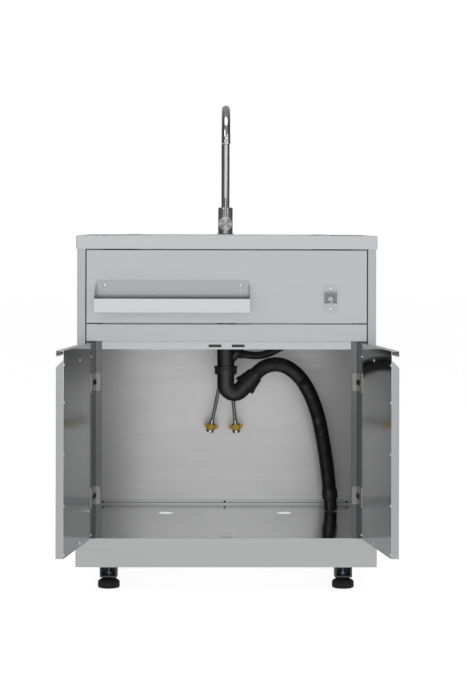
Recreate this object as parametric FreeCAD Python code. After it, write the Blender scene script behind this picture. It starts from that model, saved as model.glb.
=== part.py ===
import FreeCAD
import Part
import math
import os

# Free-standing stainless hand-wash sink cabinet: an inset sink and mixer tap on a folded
# sheet cabinet with two hinged doors, a drain with trap and hose, and four levelling feet.
# Millimetres, +Z up, +X to the right of someone facing the doors, +Y towards the back.
# Each piece is drawn with the cabinet's front plane at y = 0. At the end everything moves
# along Y, so that the origin is on the floor at the middle of the whole box.

V = FreeCAD.Vector
UP = V(0, 0, 1)

# ---- driving dimensions -------------------------------------------------------------
WIDTH = 800.0            # worktop width
DEPTH = 635.0            # worktop depth
HEIGHT = 946.0           # worktop height above the floor
SHEET = 1.2              # stainless sheet
APRON = 35.0             # folded edge of the worktop
APRON_LIP = 14.0         # inward return under the apron
OVERHANG = 3.0           # worktop past the cabinet walls
BEND = 1.6               # outside bend radius of the folded sheet
FOOT_HEIGHT = 66.0       # floor to the underside of the base
SKIRT = 77.0             # height of the base box
BASE_LIP = 15.0
POST = 22.0              # width of the front face of a side wall
POST_RETURN = 23.5       # front face back to the stile
STILE = 43.0             # width of the recessed stile
WALL_FLANGE = 15.0       # rear and top flanges of a side wall
PANEL_GAP = 3.0          # gap round doors and front panels
FASCIA_H = 194.0
RAIL_H = 45.0
FRONT_RETURN = 15.0      # return folds of the front panels
HEADER_DROP = 23.0       # header edge below the front rail
DOOR_T = 20.0
DOOR_LIP = 15.0          # hooked top edge of a door
DOOR_GRIP = 27.0         # finger gap under the hooked edge
DOOR_FLANGE = 14.0
DOOR_OPEN = 98.8         # how far both doors stand open, degrees
PIN_IN = 9.0             # hinge pin from the door's edge
PIN_BACK = 7.5           # hinge pin behind the door's face
PIN_R = 2.0
HINGE_END = 107.0        # hinge centre from the door's top or bottom
ARM_H = 13.0
RUN = 0.05               # running clearance on the radius
FIT = 0.5                # clearance round parts that pass through sheet

RIM_W = 596.0                    # sink rim
RIM_FRONT = 65.0                 # worktop front edge to the sink rim
RIM_BACK = 130.0                 # sink rim to the worktop's back edge
RIM_LAND = 20.0                  # rim width outside the bowl
RIM_T = 1.2
BOWL_DEPTH = 190.0
BOWL_CORNER = 55.0
BOWL_FLOOR_R = 30.0
DRAIN_R = 41.0                   # strainer body in the bowl's floor
PIPE_R = 24.0                    # drain pipework
PIPE_WALL = 2.5
TAIL_TOP, TAIL_END = 690.0, 558.0
TRAP_R = 26.0                    # centreline radius of the trap bend
TRAP_Z = 531.0                   # where the trap bend starts
TRAP_TURN = 16.0                 # trap outlet turned towards the back, degrees
NUT_R = 29.0
HOSE_R = 20.5
HOSE_WALL = 1.5
OVERFLOW_R = 11.0

TAP_BACK = 80.0                  # tap to the worktop's back edge
TAP_R = 21.5
TAP_H = 80.0
SPOUT_R = 12.0
SPOUT_REACH = 176.0
SPOUT_TOP = 374.0                # above the worktop
SHANK_R = 16.0
HUB_Z = 32.0                     # lever hub above the worktop
HUB_R = 20.5
LEVER_R = 3.5
SUPPLY_R = 5.0

FOOT_X, FOOT_IN = 315.0, 75.0    # foot from the centre, and in from front and back
STUD_R = 5.0
PAD_R = 29.5
PAD_H = 28.5                     # under the housing by a thin gap

# ---- places worked out from them ----------------------------------------------------
WALL_X = WIDTH / 2 - OVERHANG
FACE_Y = OVERHANG
BACK_Y = DEPTH - OVERHANG
CAB_TOP = HEIGHT - APRON
SHELF_Z = FOOT_HEIGHT + SKIRT
POST_X = WALL_X - POST
STILE_Y = FACE_Y + POST_RETURN
FASCIA_TOP = CAB_TOP - PANEL_GAP
FASCIA_Z = FASCIA_TOP - FASCIA_H
RAIL_TOP = FASCIA_Z - PANEL_GAP
RAIL_Z = RAIL_TOP - RAIL_H
HEADER_Z = RAIL_Z - HEADER_DROP
PANEL_X = POST_X - PANEL_GAP
DOOR_Z = SHELF_Z + PANEL_GAP + 1
DOOR_TOP = RAIL_Z - PANEL_GAP
DOOR_X = POST_X - PANEL_GAP      # hinge edge, from the centre
DOOR_FREE = 1.0                  # free edge, from the centre
DOOR_BACK = FACE_Y + DOOR_T
PIN_X = DOOR_X - PIN_IN
PIN_Y = FACE_Y + PIN_BACK
HINGE_ZS = (DOOR_Z + HINGE_END, DOOR_TOP - HINGE_END)
RIM_D = DEPTH - RIM_FRONT - RIM_BACK
DRAIN_Y = RIM_FRONT + RIM_D / 2
TAP_Y = DEPTH - TAP_BACK
BOWL_X = RIM_W / 2 - RIM_LAND
BOWL_Z = HEIGHT - BOWL_DEPTH
FOOT_SPOTS = [(x, y) for y in (FOOT_IN, DEPTH - FOOT_IN) for x in (-FOOT_X, FOOT_X)]

OVERFLOW_Z = HEIGHT - 58
UPSTAND = 16.0                   # fold at the back of the shelf
BACK_SCREWS = [(x, SHELF_Z + 8) for x in (-363, 0, 363)]
PORT_R, PORT_X, PORT_Y = 21.5, 170.5, 462.0
SLOT_X, SLOT_W, SLOT_H = 14.0, 34.0, 7.5
SLOT_Z = HEADER_Z + 5.4
HEADER_TOP = FASCIA_Z + 4
NOTCH_X0, NOTCH_X1 = -43.0, 36.0 # cut-out in the header's top edge
CUP_R = 13.0                     # hinge cup let into the door
CUP_X = DOOR_X - 41
LINER_SCREW_R = 1.5
TRAY_T = 1.2
TRAY_X0, TRAY_X1 = -347.0, 60.0
TRAY_DEPTH = 92.0
TRAY_Z, TRAY_BACK, TRAY_LIP = 745.0, 84.0, 37.0
TRAY_SCREWS = (-324.0, 37.0)
TRAY_SCREW_Z = 813.0
TRAY_HOOK = 14.0                 # lift that frees the keyholes
OPENER_X, OPENER_Z, OPENER_T = 276.0, 778.0, 2.0
OPENER_SCREWS = (OPENER_Z - 24, OPENER_Z + 27)
BRANCH_Z = 588.0                 # side branch of the tailpiece
BRANCH_R = 14.0
TRAP_STUB = 27.0                 # straight end of the trap
NUT_GRIP = 13.0                  # trap end inside the outlet nut
TAP_RING = 4.0
HUB_C = HEIGHT + HUB_Z
HUB_L = 26.0
HUB_Y = TAP_Y - 58
PIVOT_Y = HUB_Y + 14
TRUNNION_R = 1.5
LEVER_LEN = 76.0
CART_R = 13.0
SPOUT_SEAT = 16.0                # spout tube inside the body
SPOUT_END = HEIGHT + 264
SHANK_END = 872.0
NUT_BORE = 9.6                   # half-inch union thread
TAIL_R = 4.2
HOUSE, HOUSE_Z = 23.5, 30.0      # foot housing: half width, underside
STUD_TOP = 118.0


def behind(y, route):
    """A route whose depths are given from `y`."""
    return [(x, y + back, z) for x, back, z in route]


# Hand-laid centrelines of the free hoses: the waste hoses' depths are measured from the
# drain, and the supply hoses' from the tap.
DRAIN_ROUTE = behind(DRAIN_Y, [
    (82.4, 23.6, 554), (98, 28.1, 570.2), (124, 41, 581), (154, 63, 581), (185, 91, 566),
    (215, 123, 538), (240, 153, 499), (263, 175, 445), (280, 190, 375), (292, 200, 302),
    (302, 207, 227), (308, 211, SHELF_Z + 3)])
OVERFLOW_ROUTE = behind(DRAIN_Y, [
    (45, 12, 613), (84, 37, 604), (126, 59, 612), (168, 71, 634), (212, 65, 664),
    (252, 47, 702), (286, 21, 748), (306, 0, 804), (306, 0, 862)])
SUPPLY_LEFT = behind(TAP_Y, [
    (-7, 0, 872), (-8, 0, 815), (-11, -3, 755), (-9, -7, 690), (-6, -10, 625),
    (-7, -10, 565), (-16, -8, 505), (-27, -2, 450), (-37, 3, 402)])
SUPPLY_RIGHT = behind(TAP_Y, [
    (7, 0, 872), (8, 1, 812), (12, -1, 750), (10, -6, 685), (11, -9, 620), (16, -10, 555),
    (19, -8, 500), (25, -4, 450), (30, 0, 401)])


# ---- small tools --------------------------------------------------------------------
def box(x0, x1, y0, y1, z0, z1):
    return Part.makeBox(x1 - x0, y1 - y0, z1 - z0, V(x0, y0, z0))


def rod(radius, start, end):
    start, end = V(*start), V(*end)
    axis = end - start
    return Part.makeCylinder(radius, axis.Length, start, axis)


def pipe(radius, bore, start, end):
    return rod(radius, start, end).cut(rod(bore, start, end))


def joined(shapes):
    return shapes[0].fuse(shapes[1:]).removeSplitter()


def group(shapes):
    return Part.makeCompound(shapes)


def mirrored(shape):
    return shape.mirror(V(0, 0, 0), V(1, 0, 0))


def edges_along(shape, axis, test=lambda p: True):
    """Straight edges along one axis whose middle passes the test."""
    found = []
    for edge in shape.Edges:
        if not isinstance(edge.Curve, Part.Line):
            continue
        if abs(abs(edge.Curve.Direction.dot(axis)) - 1) > 1e-6:
            continue
        middle = (edge.Vertexes[0].Point + edge.Vertexes[1].Point) * 0.5
        if test(middle):
            found.append(edge)
    return found


def plate(points, axis, thickness):
    """A flat polygon pushed out along an axis."""
    loop = Part.makePolygon([V(*p) for p in points] + [V(*points[0])])
    return Part.Face(loop).extrude(axis * thickness)


def hexagon(across, start, end):
    """A hexagonal prism with flats `across` apart."""
    start, end = V(*start), V(*end)
    prism = Part.Face(Part.makePolygon([
        V(math.cos(math.radians(60 * i)), math.sin(math.radians(60 * i)), 0)
        * (across / math.sqrt(3)) for i in range(7)])).extrude(V(0, 0, (end - start).Length))
    prism.Placement = FreeCAD.Placement(start, FreeCAD.Rotation(UP, end - start))
    return prism


def turned(profile, centre=(0, 0)):
    """A solid of revolution about Z from (radius, z) points."""
    loop = Part.makePolygon([V(r, 0, z) for r, z in profile + profile[:1]])
    solid = Part.Face(loop).revolve(V(0, 0, 0), UP, 360)
    solid.translate(V(centre[0], centre[1], 0))
    return solid


def aimed(shape, spot, direction):
    """Move a shape drawn at the origin along +Z to a spot and a direction."""
    turn = FreeCAD.Rotation(V(1, 0, 0), V(0, 1, 0), V(*direction), "ZXY")
    shape.Placement = FreeCAD.Placement(V(*spot), turn)
    return shape


def pan_screw(spot, direction, head_r=3.5, head_h=2.0, shank_r=1.9, shank=6.0):
    """A domed screw whose head stands out of a face along `direction`."""
    head = Part.makeCylinder(head_r, head_h)
    head = head.makeFillet(head_h * 0.6, [head.Edges[0]])
    return aimed(joined([head, rod(shank_r, (0, 0, -shank), (0, 0, 0.1))]), spot, direction)


def route_wire(points):
    """Straight runs joined by the largest tangent arcs that the runs allow."""
    pts = [V(*p) for p in points]
    edges, radii, here = [], [], pts[0]
    for before, corner, after in zip(pts, pts[1:], pts[2:]):
        a, b = corner - before, after - corner
        half = a.getAngle(b) / 2
        cut = 0.45 * min(a.Length, b.Length)
        radii.append(cut / math.tan(half))
        start = corner - a.normalize() * cut
        end = corner + b.normalize() * cut
        towards = (b - a).normalize()
        centre = corner + towards * (radii[-1] / math.cos(half))
        middle = centre - towards * radii[-1]
        edges.append(Part.LineSegment(here, start).toShape())
        edges.append(Part.Arc(start, middle, end).toShape())
        here = end
    edges.append(Part.LineSegment(here, pts[-1]).toShape())
    return Part.Wire(edges), radii


def hose(points, radius, bore=0.0, name="hose"):
    """A tube swept along a route; its volume is compared with section times length."""
    wire, radii = route_wire(points)
    start = V(*points[0])
    along = V(*points[1]) - start

    def swept(r):
        ring = Part.Wire(Part.makeCircle(r, start, along))
        return wire.makePipeShell([ring], True, False)

    solid = swept(radius)
    area = math.pi * radius ** 2
    if bore:
        solid = solid.cut(swept(bore))
        area -= math.pi * bore ** 2
    share = solid.Volume / (area * wire.Length)
    print(name, "length", round(wire.Length), "radii", [round(r) for r in radii],
          "volume share", round(share, 4))
    return solid


# ---- worktop and sink ---------------------------------------------------------------
def countertop():
    half = WIDTH / 2
    top = box(-half, half, 0, DEPTH, CAB_TOP, HEIGHT)
    top = top.makeFillet(BEND, edges_along(top, UP))
    top = top.makeFillet(BEND * 0.9, [e for e in top.Edges
                                      if e.BoundBox.ZMin > HEIGHT - 0.01])
    hollow = box(-half + SHEET, half - SHEET, SHEET, DEPTH - SHEET,
                 CAB_TOP + SHEET, HEIGHT - SHEET)
    mouth = box(-half + APRON_LIP, half - APRON_LIP, APRON_LIP, DEPTH - APRON_LIP,
                CAB_TOP - 1, CAB_TOP + SHEET + 1)
    sink_hole = box(-BOWL_X - FIT, BOWL_X + FIT, RIM_FRONT + RIM_LAND - FIT,
                    RIM_FRONT + RIM_D - RIM_LAND + FIT, HEIGHT - 5, HEIGHT + 5)
    sink_hole = sink_hole.makeFillet(BOWL_CORNER + FIT, edges_along(sink_hole, UP))
    tap_hole = rod(SHANK_R + FIT, (0, TAP_Y, HEIGHT - 5), (0, TAP_Y, HEIGHT + 5))
    return top.cut([hollow, mouth, sink_hole, tap_hole])


def bowl_block(grow, z_bottom, z_top):
    """The bowl's inside, grown by `grow`, as a solid with round corners and floor edge."""
    block = box(-BOWL_X + SHEET - grow, BOWL_X - SHEET + grow,
                RIM_FRONT + RIM_LAND + SHEET - grow,
                RIM_FRONT + RIM_D - RIM_LAND - SHEET + grow, z_bottom, z_top)
    block = block.makeFillet(BOWL_CORNER - SHEET + grow, edges_along(block, UP))
    floor = [e for e in block.Edges if e.BoundBox.ZMax < z_bottom + 0.01]
    return block.makeFillet(BOWL_FLOOR_R + grow, floor)


def sink_bowl():
    rim = box(-RIM_W / 2, RIM_W / 2, RIM_FRONT, RIM_FRONT + RIM_D, HEIGHT, HEIGHT + RIM_T)
    rim = rim.makeFillet(BOWL_CORNER * 0.6, edges_along(rim, UP))
    outside = bowl_block(SHEET, BOWL_Z, HEIGHT + RIM_T)
    inside = bowl_block(0, BOWL_Z + SHEET, HEIGHT + RIM_T + 1)
    drain = rod(DRAIN_R + FIT, (0, DRAIN_Y, BOWL_Z - 5), (0, DRAIN_Y, BOWL_Z + 5))
    overflow = rod(12, (BOWL_X - 10, DRAIN_Y, OVERFLOW_Z), (BOWL_X + 10, DRAIN_Y, OVERFLOW_Z))
    return joined([rim, outside]).cut([inside, drain, overflow])


def sink_clips():
    """Small Z clips that pull the rim down from under the worktop."""
    clips = []
    z = HEIGHT - SHEET
    for x in (-BOWL_X * 0.6, BOWL_X * 0.6):
        for y, out in ((RIM_FRONT + RIM_LAND, -1), (RIM_FRONT + RIM_D - RIM_LAND, 1)):
            foot = box(x - 8, x + 8, min(y, y + out * 16), max(y, y + out * 16), z - 1.5, z)
            leg = box(x - 8, x + 8, min(y, y + out * 1.5), max(y, y + out * 1.5), z - 22, z)
            clips.append(joined([foot, leg]))
    return group(clips)


# ---- cabinet ------------------------------------------------------------------------
def side_panel():
    """Left wall, folded round the front into a post face, a return and a stile."""
    x = -WALL_X
    wall = box(x, x + SHEET, FACE_Y, BACK_Y - SHEET, SHELF_Z, CAB_TOP)
    post = box(x, -POST_X, FACE_Y, FACE_Y + SHEET, SHELF_Z, CAB_TOP)
    back = box(-POST_X - SHEET, -POST_X, FACE_Y, STILE_Y + SHEET, SHELF_Z, CAB_TOP)
    stile = box(-POST_X - SHEET, -POST_X + STILE, STILE_Y, STILE_Y + SHEET, SHELF_Z, CAB_TOP)
    rear = box(x, x + WALL_FLANGE, BACK_Y - 2 * SHEET, BACK_Y - SHEET, SHELF_Z, CAB_TOP)
    top = box(x, x + WALL_FLANGE, STILE_Y + SHEET, BACK_Y - SHEET, CAB_TOP - SHEET, CAB_TOP)
    wall = joined([wall, post, back, stile, rear, top])
    corner = edges_along(wall, UP, lambda p: p.y < FACE_Y + 0.01
                         and (p.x < x + 0.01 or abs(p.x + POST_X) < 0.01))
    return wall.makeFillet(BEND * 0.6, corner)


def back_panel():
    panel = box(-WALL_X, WALL_X, BACK_Y - SHEET, BACK_Y, SHELF_Z, CAB_TOP)
    holes = [rod(1.9, (x, BACK_Y - 5, z), (x, BACK_Y + 5, z)) for x, z in BACK_SCREWS]
    return panel.cut(holes)


def base_pan():
    """Folded base box: its top is the shelf, its sides are the skirts."""
    half = WIDTH / 2
    pan = box(-half, half, 0, DEPTH, FOOT_HEIGHT, SHELF_Z)
    pan = pan.makeFillet(BEND, edges_along(pan, UP))
    pan = pan.makeFillet(BEND * 0.9, [e for e in pan.Edges
                                      if e.BoundBox.ZMin > SHELF_Z - 0.01])
    hollow = box(-half + SHEET, half - SHEET, SHEET, DEPTH - SHEET,
                 FOOT_HEIGHT + SHEET, SHELF_Z - SHEET)
    mouth = box(-half + BASE_LIP, half - BASE_LIP, BASE_LIP, DEPTH - BASE_LIP,
                FOOT_HEIGHT - 1, FOOT_HEIGHT + SHEET + 1)
    holes = [rod(PORT_R, (x, PORT_Y, SHELF_Z - 5), (x, PORT_Y, SHELF_Z + 5))
             for x in (-PORT_X, PORT_X)]
    upstand = box(-WALL_X + WALL_FLANGE + 1, WALL_X - WALL_FLANGE - 1,
                  BACK_Y - 2 * SHEET, BACK_Y - SHEET, SHELF_Z - SHEET / 2, SHELF_Z + UPSTAND)
    screws = [rod(1.9, (x, BACK_Y - 8, z), (x, BACK_Y + 5, z))
              for x, z in BACK_SCREWS if z < SHELF_Z + UPSTAND]
    return joined([pan.cut([hollow, mouth] + holes), upstand]).cut(screws)


def front_panel(z0, z1, holes=()):
    """A folded panel between the posts, its side folds landing on the stiles."""
    x, y = PANEL_X, FACE_Y
    parts = [box(-x, x, y, y + SHEET, z0, z1),
             box(-x, x, y, y + FRONT_RETURN, z1 - SHEET, z1),
             box(-x, x, y, y + FRONT_RETURN, z0, z0 + SHEET)]
    for side in (-1, 1):
        outer, inner = side * x, side * (x - SHEET)
        parts.append(box(min(outer, inner), max(outer, inner), y, STILE_Y, z0, z1))
        tab = side * (x - FRONT_RETURN)
        parts.append(box(min(outer, tab), max(outer, tab), STILE_Y - SHEET, STILE_Y, z0, z1))
    panel = joined(parts)
    edges = edges_along(panel, V(1, 0, 0), lambda p: p.y < y + 0.01)
    panel = panel.makeFillet(BEND * 0.5, edges)
    return panel.cut(list(holes)) if holes else panel


def fascia_panel():
    spots = [(x, TRAY_SCREW_Z) for x in TRAY_SCREWS] + [(OPENER_X, z) for z in OPENER_SCREWS]
    return front_panel(FASCIA_Z, FASCIA_TOP,
                       [rod(1.9, (x, 0, z), (x, 10, z)) for x, z in spots])


def header_rail():
    """Strip behind the stiles that the doors close against, with two catch slots."""
    y = STILE_Y + SHEET
    x = POST_X - 1
    strip = box(-x, x, y, y + SHEET, HEADER_Z, HEADER_TOP)
    top = box(-x, x, y, y + 22, HEADER_TOP - SHEET, HEADER_TOP)
    notch = box(NOTCH_X0, NOTCH_X1, y - 1, y + 23, RAIL_TOP - 2, HEADER_TOP + 1)
    foot = box(-x, x, y, y + 9, HEADER_Z, HEADER_Z + SHEET)
    slots = [box(s, s + SLOT_W, y - 2, y + 4, SLOT_Z, SLOT_Z + SLOT_H)
             for s in (SLOT_X, -SLOT_X - SLOT_W)]
    return joined([strip, top, foot]).cut(slots + [notch])


def door_magnets():
    """Magnetic catches behind the header slots, their pole plates in the slots."""
    y = STILE_Y + 2 * SHEET
    catches = []
    for s in (SLOT_X, -SLOT_X - SLOT_W):
        body = box(s - 4, s + SLOT_W + 4, y, y + 13, SLOT_Z - 2.2, SLOT_Z + SLOT_H + 6)
        poles = [box(s + a, s + a + 2.5, y - 0.8, y, SLOT_Z + 1, SLOT_Z + SLOT_H - 1)
                 for a in (SLOT_W * 0.25, SLOT_W * 0.68)]
        catches.append(joined([body] + poles))
    return group(catches)


def door_bumper():
    """Rubber stop on the shelf's front edge, behind where the doors meet."""
    y = DOOR_BACK + 1.5
    stop = box(-15, 15, y, y + 12, SHELF_Z, SHELF_Z + 8)
    return stop.makeFillet(2.5, [e for e in stop.Edges if e.BoundBox.ZMin > SHELF_Z + 1])


def panel_screws():
    """Pan-head screws: back panel joint, tray hooks and bottle opener."""
    screws = [pan_screw((x, BACK_Y - 2 * SHEET if z < SHELF_Z + UPSTAND else BACK_Y - SHEET, z),
                        (0, -1, 0), 3.5, 2.0, 1.85, 2.2) for x, z in BACK_SCREWS]
    screws += [pan_screw((x, FACE_Y - TRAY_T - 0.1, TRAY_SCREW_Z), (0, -1, 0), 4.0, 2.2,
                         1.85, 10.0) for x in TRAY_SCREWS]
    screws += [pan_screw((OPENER_X, FACE_Y - OPENER_T, z), (0, -1, 0), 3.8, 2.0,
                         1.85, 10.0) for z in OPENER_SCREWS]
    return group(screws)


# ---- doors --------------------------------------------------------------------------
def opened(shape):
    """Swing a closed left door piece about its pin to where it stands."""
    shape = shape.copy()
    shape.rotate(V(-PIN_X, PIN_Y, 0), UP, -DOOR_OPEN)
    return shape


def hinge_notches():
    """Corner cut-outs of a left door, where the hinge arms reach the pins."""
    return [box(-DOOR_X - 1, -DOOR_X + 27, PIN_Y - 5.5, DOOR_BACK + 1,
                z - ARM_H / 2 - 1, z + ARM_H / 2 + 1) for z in HINGE_ZS]


def liner_holes():
    """Holes of a left door's liner: hinge cups and screws."""
    cups = [rod(CUP_R + 0.2, (-CUP_X, DOOR_BACK - 8, z), (-CUP_X, DOOR_BACK + 5, z))
            for z in HINGE_ZS]
    return cups + [rod(LINER_SCREW_R, (x, DOOR_BACK - 8, z), (x, DOOR_BACK + 5, z))
                   for x, z in liner_spots()]


def door_skin():
    """Left door's outer tray: face, side and bottom folds, and a sloped top in the grip."""
    x0, x1 = -DOOR_X, -DOOR_FREE
    y0, y1 = FACE_Y, DOOR_BACK - SHEET
    z0, z1 = DOOR_Z, DOOR_TOP - DOOR_LIP - DOOR_GRIP
    rise = y1 - y0
    side = [(0, y0, z0), (0, y1, z0), (0, y1, z1 + rise), (0, y0, z1)]
    inner = [(0, y0 + SHEET, z0 + SHEET), (0, y1 + 5, z0 + SHEET),
             (0, y1 + 5, z1 + rise + 5 - SHEET * 0.4), (0, y0 + SHEET, z1 - SHEET * 0.4)]
    outer = plate([(x0, y, z) for _, y, z in side], V(1, 0, 0), x1 - x0)
    hollow = plate([(x0 + SHEET, y, z) for _, y, z in inner], V(1, 0, 0),
                   x1 - x0 - 2 * SHEET)
    tray = outer.cut(hollow)
    flanges = [box(x0, x0 + DOOR_FLANGE, y1 - SHEET, y1, z0, z1 + rise - 2),
               box(x1 - DOOR_FLANGE, x1, y1 - SHEET, y1, z0, z1 + rise - 2),
               box(x0, x1, y1 - SHEET, y1, z0, z0 + DOOR_FLANGE + 4)]
    tray = joined([tray] + flanges)
    front = [e for e in tray.Edges if abs(e.BoundBox.YMax - y0) < 0.01
             and abs(e.BoundBox.YMin - y0) < 0.01]
    tray = tray.makeFillet(BEND * 0.5, front)
    return tray.cut(hinge_notches() + liner_holes())


def door_liner():
    """Left door's inner sheet, hooked forward over the top as the grip."""
    x0, x1 = -DOOR_X, -DOOR_FREE
    y0, y1 = FACE_Y, DOOR_BACK
    z1 = DOOR_TOP
    sheet = box(x0, x1, y1 - SHEET, y1, DOOR_Z, z1)
    top = box(x0, x1, y0, y1, z1 - SHEET, z1)
    lip = box(x0, x1, y0, y0 + SHEET, z1 - DOOR_LIP, z1)
    hem = plate([(x0, y0, z1 - DOOR_LIP), (x0, y0 + SHEET, z1 - DOOR_LIP),
                 (x0, y0 + 6, z1 - DOOR_LIP + 5), (x0, y0 + 6, z1 - DOOR_LIP + 5 + SHEET),
                 (x0, y0, z1 - DOOR_LIP + SHEET)], V(1, 0, 0), x1 - x0)
    liner = joined([sheet, top, lip, hem])
    edges = edges_along(liner, V(1, 0, 0), lambda p: p.z > z1 - 0.01)
    liner = liner.makeFillet(BEND * 0.5, edges)
    return liner.cut(hinge_notches() + liner_holes())


def liner_spots():
    """Screw places of a left door: the free edge, the top row and the bottom row."""
    edge = -DOOR_FREE - DOOR_FLANGE / 2
    spots = [(edge, DOOR_Z + h) for h in (10, 131, 259, 387)]
    spots += [(x, DOOR_Z + 10) for x in (-DOOR_X / 2, -DOOR_X + 50)]
    spots += [(x, DOOR_TOP - DOOR_LIP - DOOR_GRIP + 6)
              for x in (edge, -DOOR_X / 2, -DOOR_X + 50)]
    return spots


def liner_screws():
    return group([pan_screw((x, DOOR_BACK, z), (0, 1, 0), 3.2, 1.6, LINER_SCREW_R, 5.0)
                  for x, z in liner_spots()])


def hinge_arm(z):
    """Arm from the left stile to the hinge pin: plate, web and eye."""
    h = ARM_H / 2
    base = box(-DOOR_X + 17, -DOOR_X + 36, STILE_Y - 1.6, STILE_Y, z - 24, z + 24)
    base = base.makeFillet(5, edges_along(base, V(0, 1, 0)))
    web = plate([(-PIN_X - 2.5, PIN_Y + 3, z - h), (-PIN_X + 3, PIN_Y - 2.5, z - h),
                 (-DOOR_X + 26, STILE_Y - 1, z - h), (-DOOR_X + 17, STILE_Y - 1, z - h)],
                UP, ARM_H)
    eye = rod(4.2, (-PIN_X, PIN_Y, z - h), (-PIN_X, PIN_Y, z + h))
    bore = rod(PIN_R + RUN, (-PIN_X, PIN_Y, z - h - 1), (-PIN_X, PIN_Y, z + h + 1))
    return joined([base, web, eye]).cut(bore)


def hinge_cup(z):
    """Cup let into the left door, with ears above and below the arm's eye."""
    flange = box(-CUP_X - 11, -CUP_X + 11, DOOR_BACK, DOOR_BACK + 1.2, z - 28, z + 28)
    flange = flange.makeFillet(6, edges_along(flange, V(0, 1, 0)))
    cup = rod(CUP_R, (-CUP_X, PIN_Y - 3, z), (-CUP_X, DOOR_BACK + 0.6, z))
    ears = []
    for side in (-1, 1):
        low, high = sorted((z + side * (ARM_H / 2 + 0.4), z + side * (ARM_H / 2 + 4.4)))
        ear = box(-PIN_X, -CUP_X, PIN_Y - 3, PIN_Y + 4, low, high)
        ears.append(ear.fuse(rod(4.4, (-PIN_X, PIN_Y, low), (-PIN_X, PIN_Y, high))))
    room = box(-CUP_X - CUP_R - 1, -CUP_X - 1, PIN_Y - 4, DOOR_BACK - SHEET,
               z - ARM_H / 2 - 0.4, z + ARM_H / 2 + 0.4)
    bore = rod(PIN_R, (-PIN_X, PIN_Y, z - 20), (-PIN_X, PIN_Y, z + 20))
    return joined([flange, cup] + ears).cut([room, bore])


def hinge_pin(z):
    return rod(PIN_R, (-PIN_X, PIN_Y, z - ARM_H / 2 - 4.4), (-PIN_X, PIN_Y, z + ARM_H / 2 + 4.4))


# ---- front fittings -----------------------------------------------------------------
def condiment_tray():
    """Folded tray hung on two screws by keyholes in its back."""
    x0, x1 = TRAY_X0, TRAY_X1
    y0, y1 = FACE_Y - TRAY_T - TRAY_DEPTH, FACE_Y
    t = TRAY_T
    z0, z1 = TRAY_Z, TRAY_Z + TRAY_BACK
    lip = z0 + TRAY_LIP
    sheet = [box(x0, x1, y1 - t, y1, z0, z1), box(x0, x1, y0, y1, z0, z0 + t),
             box(x0, x1, y0, y0 + t, z0, lip)]
    for x in (x0, x1 - t):
        sheet.append(plate([(x, y0, z0), (x, y1, z0), (x, y1, z1 - 12), (x, y1 - 14, z1 - 12),
                            (x, y0, lip)], V(1, 0, 0), t))
    tray = joined(sheet)
    tray = tray.makeFillet(BEND * 0.6, edges_along(
        tray, V(1, 0, 0), lambda p: p.y < y0 + 0.01 and p.z < z0 + 0.01))
    cuts = []
    for x in TRAY_SCREWS:
        cuts.append(box(x - 2.4, x + 2.4, y1 - 5, y1 + 5, TRAY_SCREW_Z - TRAY_HOOK,
                        TRAY_SCREW_Z))
        cuts.append(rod(2.4, (x, y1 - 5, TRAY_SCREW_Z), (x, y1 + 5, TRAY_SCREW_Z)))
        low = TRAY_SCREW_Z - TRAY_HOOK
        cuts.append(rod(4.8, (x, y1 - 5, low), (x, y1 + 5, low)))
    return tray.cut(cuts)


def bottle_opener():
    """Wall plate with a sloping hood; a cap goes up behind the hood's notched lower lip."""
    x, y, z = OPENER_X, FACE_Y - OPENER_T, OPENER_Z
    back = box(x - 19.5, x + 19.5, y, FACE_Y, z - 36.5, z + 36.5)
    back = back.makeFillet(9, edges_along(back, V(0, 1, 0)))
    side = [(0, y + 0.5, z + 20), (0, y - 14, z + 20), (0, y - 19, z + 16),
            (0, y - 12, z - 9), (0, y - 10, z - 9), (0, y + 0.5, z - 3)]
    room = [(0, y, z + 17.5), (0, y - 13.5, z + 17.5), (0, y - 16.3, z + 14.5),
            (0, y - 9.4, z - 12), (0, y, z - 12)]
    hood = plate([(x - 16, v, w) for _, v, w in side], V(1, 0, 0), 32)
    throat = plate([(x - 13, v, w) for _, v, w in room], V(1, 0, 0), 26)
    window = rod(7.5, (x, y - 25, z), (x, y - 7, z)).fuse(
        box(x - 7.5, x + 7.5, y - 25, y - 7, z - 14, z))
    tongue = rod(5, (x, y - 14.5, z - 9), (x, y - 12, z - 9)).common(
        box(x - 6, x + 6, y - 20, y, z - 9, z))
    holes = [rod(1.9, (x, y - 5, s), (x, y + 8, s)) for s in OPENER_SCREWS]
    shape = joined([back, hood]).cut([throat, window])
    lip = box(x - 16, x + 16, y - 14.3, y - 11.8, z - 11, z - 8.5)
    return joined([shape, lip, tongue]).cut(holes)


# ---- drain --------------------------------------------------------------------------
def strainer_body():
    z = BOWL_Z + SHEET
    return turned([(26, z - 44), (DRAIN_R - 6, z - 38), (DRAIN_R, z - 30), (DRAIN_R, z),
                   (56, z), (56, z + 1.2), (52, z + 2.2), (DRAIN_R - 1.5, z + 0.6),
                   (DRAIN_R - 1.5, z - 29), (DRAIN_R - 7, z - 36.5), (22, z - 42),
                   (20.5, TAIL_TOP - 8), (24, TAIL_TOP - 8), (24, z - 50), (26, z - 50)],
                  (0, DRAIN_Y))


def drain_gasket():
    return pipe(54, DRAIN_R + RUN, (0, DRAIN_Y, BOWL_Z - 3), (0, DRAIN_Y, BOWL_Z))


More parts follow.
